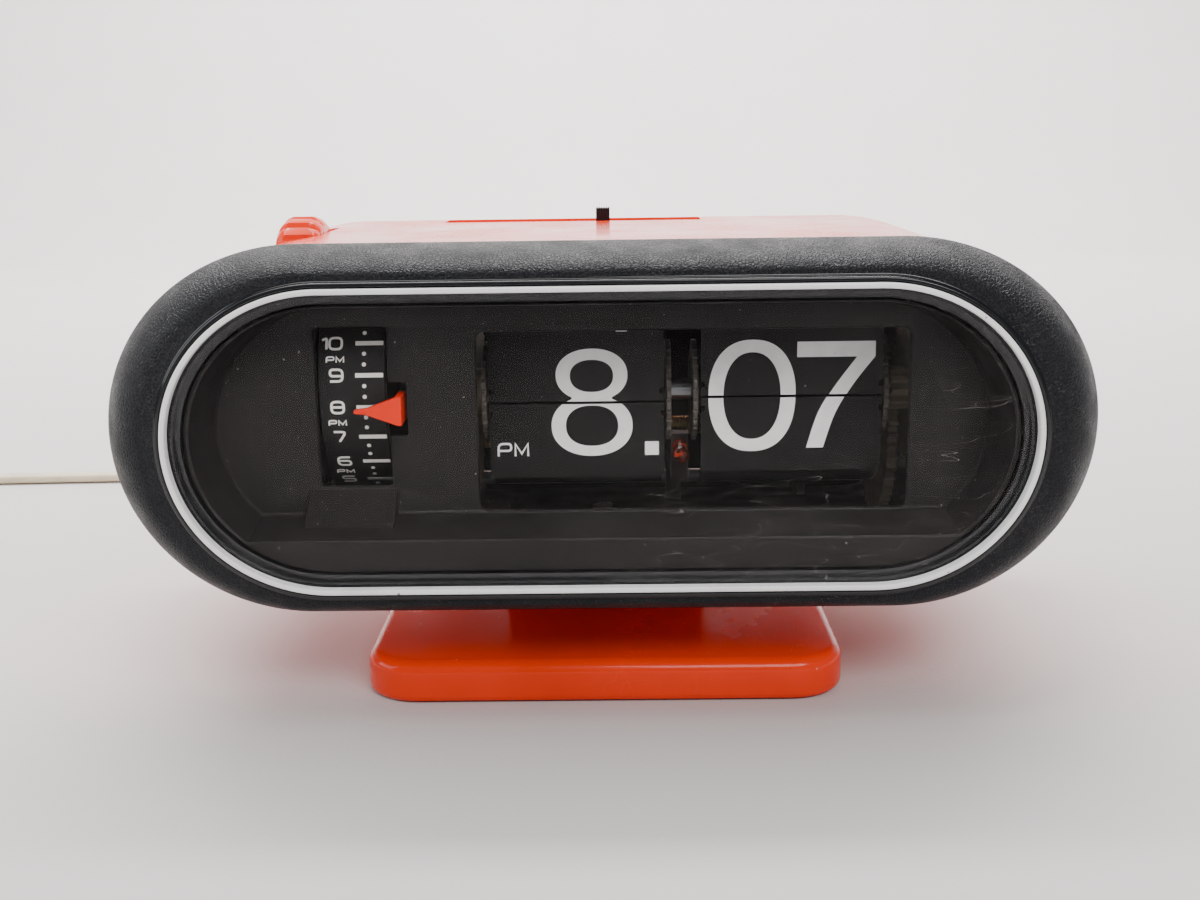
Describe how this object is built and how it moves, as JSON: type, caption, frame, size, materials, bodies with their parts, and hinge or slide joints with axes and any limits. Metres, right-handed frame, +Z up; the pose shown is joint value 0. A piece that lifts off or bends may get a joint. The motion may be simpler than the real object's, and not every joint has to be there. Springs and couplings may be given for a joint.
{
  "type": "flip number clock",
  "caption": "Pill-shaped flip number alarm clock on a pedestal, with a flip display, a turning alarm drum and a mains cord.",
  "frame": {"origin": "centre of the footprint, on the surface the pedestal stands on, without the cord", "axes": "+X to the right of the dial, +Y to the back, +Z up"},
  "size_m": [0.3833, 0.198, 0.0923],
  "materials": {
    "bezel": "fine leather grain moulded in black",
    "trim": "white enamelled line",
    "lens": "clear polished acrylic",
    "mask": "dark brown-black satin moulding",
    "pointer": "red-orange moulding",
    "case": "glossy orange moulding",
    "thumbwheel": "orange grooved wheel",
    "steel": "zinc plated steel",
    "brass": "turned brass",
    "nylon": "natural nylon",
    "leaf": "thin dark plastic leaf with printed white figures",
    "drum": "black drum with printed white scale",
    "knob": "black moulding",
    "motor": "drawn steel can",
    "coil": "taped enamelled wire winding",
    "lamp": "neon glow lamp",
    "holder": "dark phenolic",
    "pad": "dark foam rubber",
    "cord": "ivory vinyl"
  },
  "bodies": {
    "frame": {"bezel": "bezel", "trim_ring": "trim", "lens": "lens", "dial_mask": "mask", "alarm_pointer": "pointer", "case_shell": "case", "rear_cover": "case", "rear_cover_screw_left": "steel", "rear_cover_screw_right": "steel", "alarm_switch_plate": "steel", "pedestal_base": "case", "base_pad": "pad", "pedestal_neck": "case", "base_screw_front": "steel", "base_screw_rear": "steel", "hour_leaf_next": "leaf", "hour_leaf_lower": "leaf", "hour_leaf_stack": "leaf", "minute_leaf_next": "leaf", "minute_leaf_lower": "leaf", "minute_leaf_stack": "leaf", "motor_body": "motor", "time_set_axle": "steel", "alarm_shaft": "steel", "alarm_set_pin": "steel", "alarm_lever_pin": "steel", "buzzer_yoke": "steel", "buzzer_coil": "coil", "left_frame_plate": "steel", "centre_frame_plate": "steel", "right_frame_plate": "steel", "tie_rod_bottom": "steel", "tie_rod_top": "steel", "leaf_stop_springs": "steel", "neon_lamp": "lamp", "lamp_holder": "holder", "strain_relief": "cord", "power_cord": "cord", "cord_coil": "cord", "plug": "cord"},
    "minute_train": {"display_shaft": "steel", "minute_drum": "nylon", "minute_leaf_roll": "leaf", "minute_wheel": "nylon"},
    "hour_train": {"hour_drum": "nylon", "hour_leaf_roll": "leaf", "hour_gear": "nylon"},
    "transfer": {"transfer_arbor": "brass", "transfer_wheel": "nylon"},
    "alarm_cam": {"alarm_cam_gear": "nylon"},
    "motor_rotor": {"motor_pinion": "brass"},
    "time_setter": {"time_set_wheel": "thumbwheel"},
    "alarm_dial": {"alarm_drum": "drum"},
    "alarm_setter": {"alarm_set_wheel": "thumbwheel"},
    "switch": {"alarm_switch_knob": "knob"},
    "minute_flap": {"minute_leaf_upper": "leaf"},
    "hour_flap": {"hour_leaf_upper": "leaf"},
    "lever": {"alarm_lever": "steel"},
    "reed": {"buzzer_reed": "steel"}
  },
  "joints": [
    {"name": "minute_spin", "type": "hinge", "parent": "frame", "child": "minute_train", "pos_m": [0.038, -0.0135, 0.0566], "axis": [1, 0, 0], "continuous": true},
    {"name": "hour_spin", "type": "hinge", "parent": "frame", "child": "hour_train", "pos_m": [-0.005, -0.0135, 0.0566], "axis": [1, 0, 0], "continuous": true},
    {"name": "transfer_spin", "type": "hinge", "parent": "frame", "child": "transfer", "pos_m": [0.02, 0.0065, 0.045], "axis": [1, 0, 0], "continuous": true},
    {"name": "alarm_cam_spin", "type": "hinge", "parent": "frame", "child": "alarm_cam", "pos_m": [-0.034, -0.0125, 0.0601], "axis": [1, 0, 0], "continuous": true},
    {"name": "motor_spin", "type": "hinge", "parent": "frame", "child": "motor_rotor", "pos_m": [0.065, 0.00395, 0.05218], "axis": [1, 0, 0], "continuous": true},
    {"name": "time_set_spin", "type": "hinge", "parent": "frame", "child": "time_setter", "pos_m": [0.054, 0.03505, 0.0544], "axis": [1, 0, 0], "continuous": true},
    {"name": "alarm_dial_spin", "type": "hinge", "parent": "frame", "child": "alarm_dial", "pos_m": [-0.049, -0.0125, 0.0601], "axis": [1, 0, 0], "continuous": true},
    {"name": "alarm_set_spin", "type": "hinge", "parent": "frame", "child": "alarm_setter", "pos_m": [-0.0656, 0.0095, 0.0783], "axis": [1, 0, 0], "continuous": true},
    {"name": "alarm_switch_slide", "type": "slide", "parent": "frame", "child": "switch", "axis": [-1, 0, 0], "range_m": [0, 0.008]},
    {"name": "minute_leaf_flip", "type": "hinge", "parent": "frame", "child": "minute_flap", "pos_m": [0.0382, -0.0245, 0.0571], "axis": [1, 0, 0], "range_deg": [0, 180]},
    {"name": "hour_leaf_flip", "type": "hinge", "parent": "frame", "child": "hour_flap", "pos_m": [-0.0051, -0.0245, 0.0562], "axis": [1, 0, 0], "range_deg": [0, 180]},
    {"name": "alarm_lever_rock", "type": "hinge", "parent": "frame", "child": "lever", "pos_m": [-0.036, 0.0145, 0.072], "axis": [1, 0, 0], "range_deg": [-6, 0]},
    {"name": "buzzer_reed_rock", "type": "hinge", "parent": "frame", "child": "reed", "pos_m": [-0.046, 0.0197, 0.0384], "axis": [1, 0, 0], "range_deg": [-1.5, 1.5], "stiffness_Nm_per_rad": 0.02}
  ],
  "couplings": [
    {"joint": "transfer_spin", "follows": "minute_spin", "ratio": -0.2},
    {"joint": "hour_spin", "follows": "minute_spin", "ratio": 0.041667},
    {"joint": "alarm_cam_spin", "follows": "minute_spin", "ratio": 0.041667},
    {"joint": "motor_spin", "follows": "minute_spin", "ratio": -6},
    {"joint": "time_set_spin", "follows": "minute_spin", "ratio": 0.35714},
    {"joint": "alarm_set_spin", "follows": "alarm_dial_spin", "ratio": -3}
  ]
}
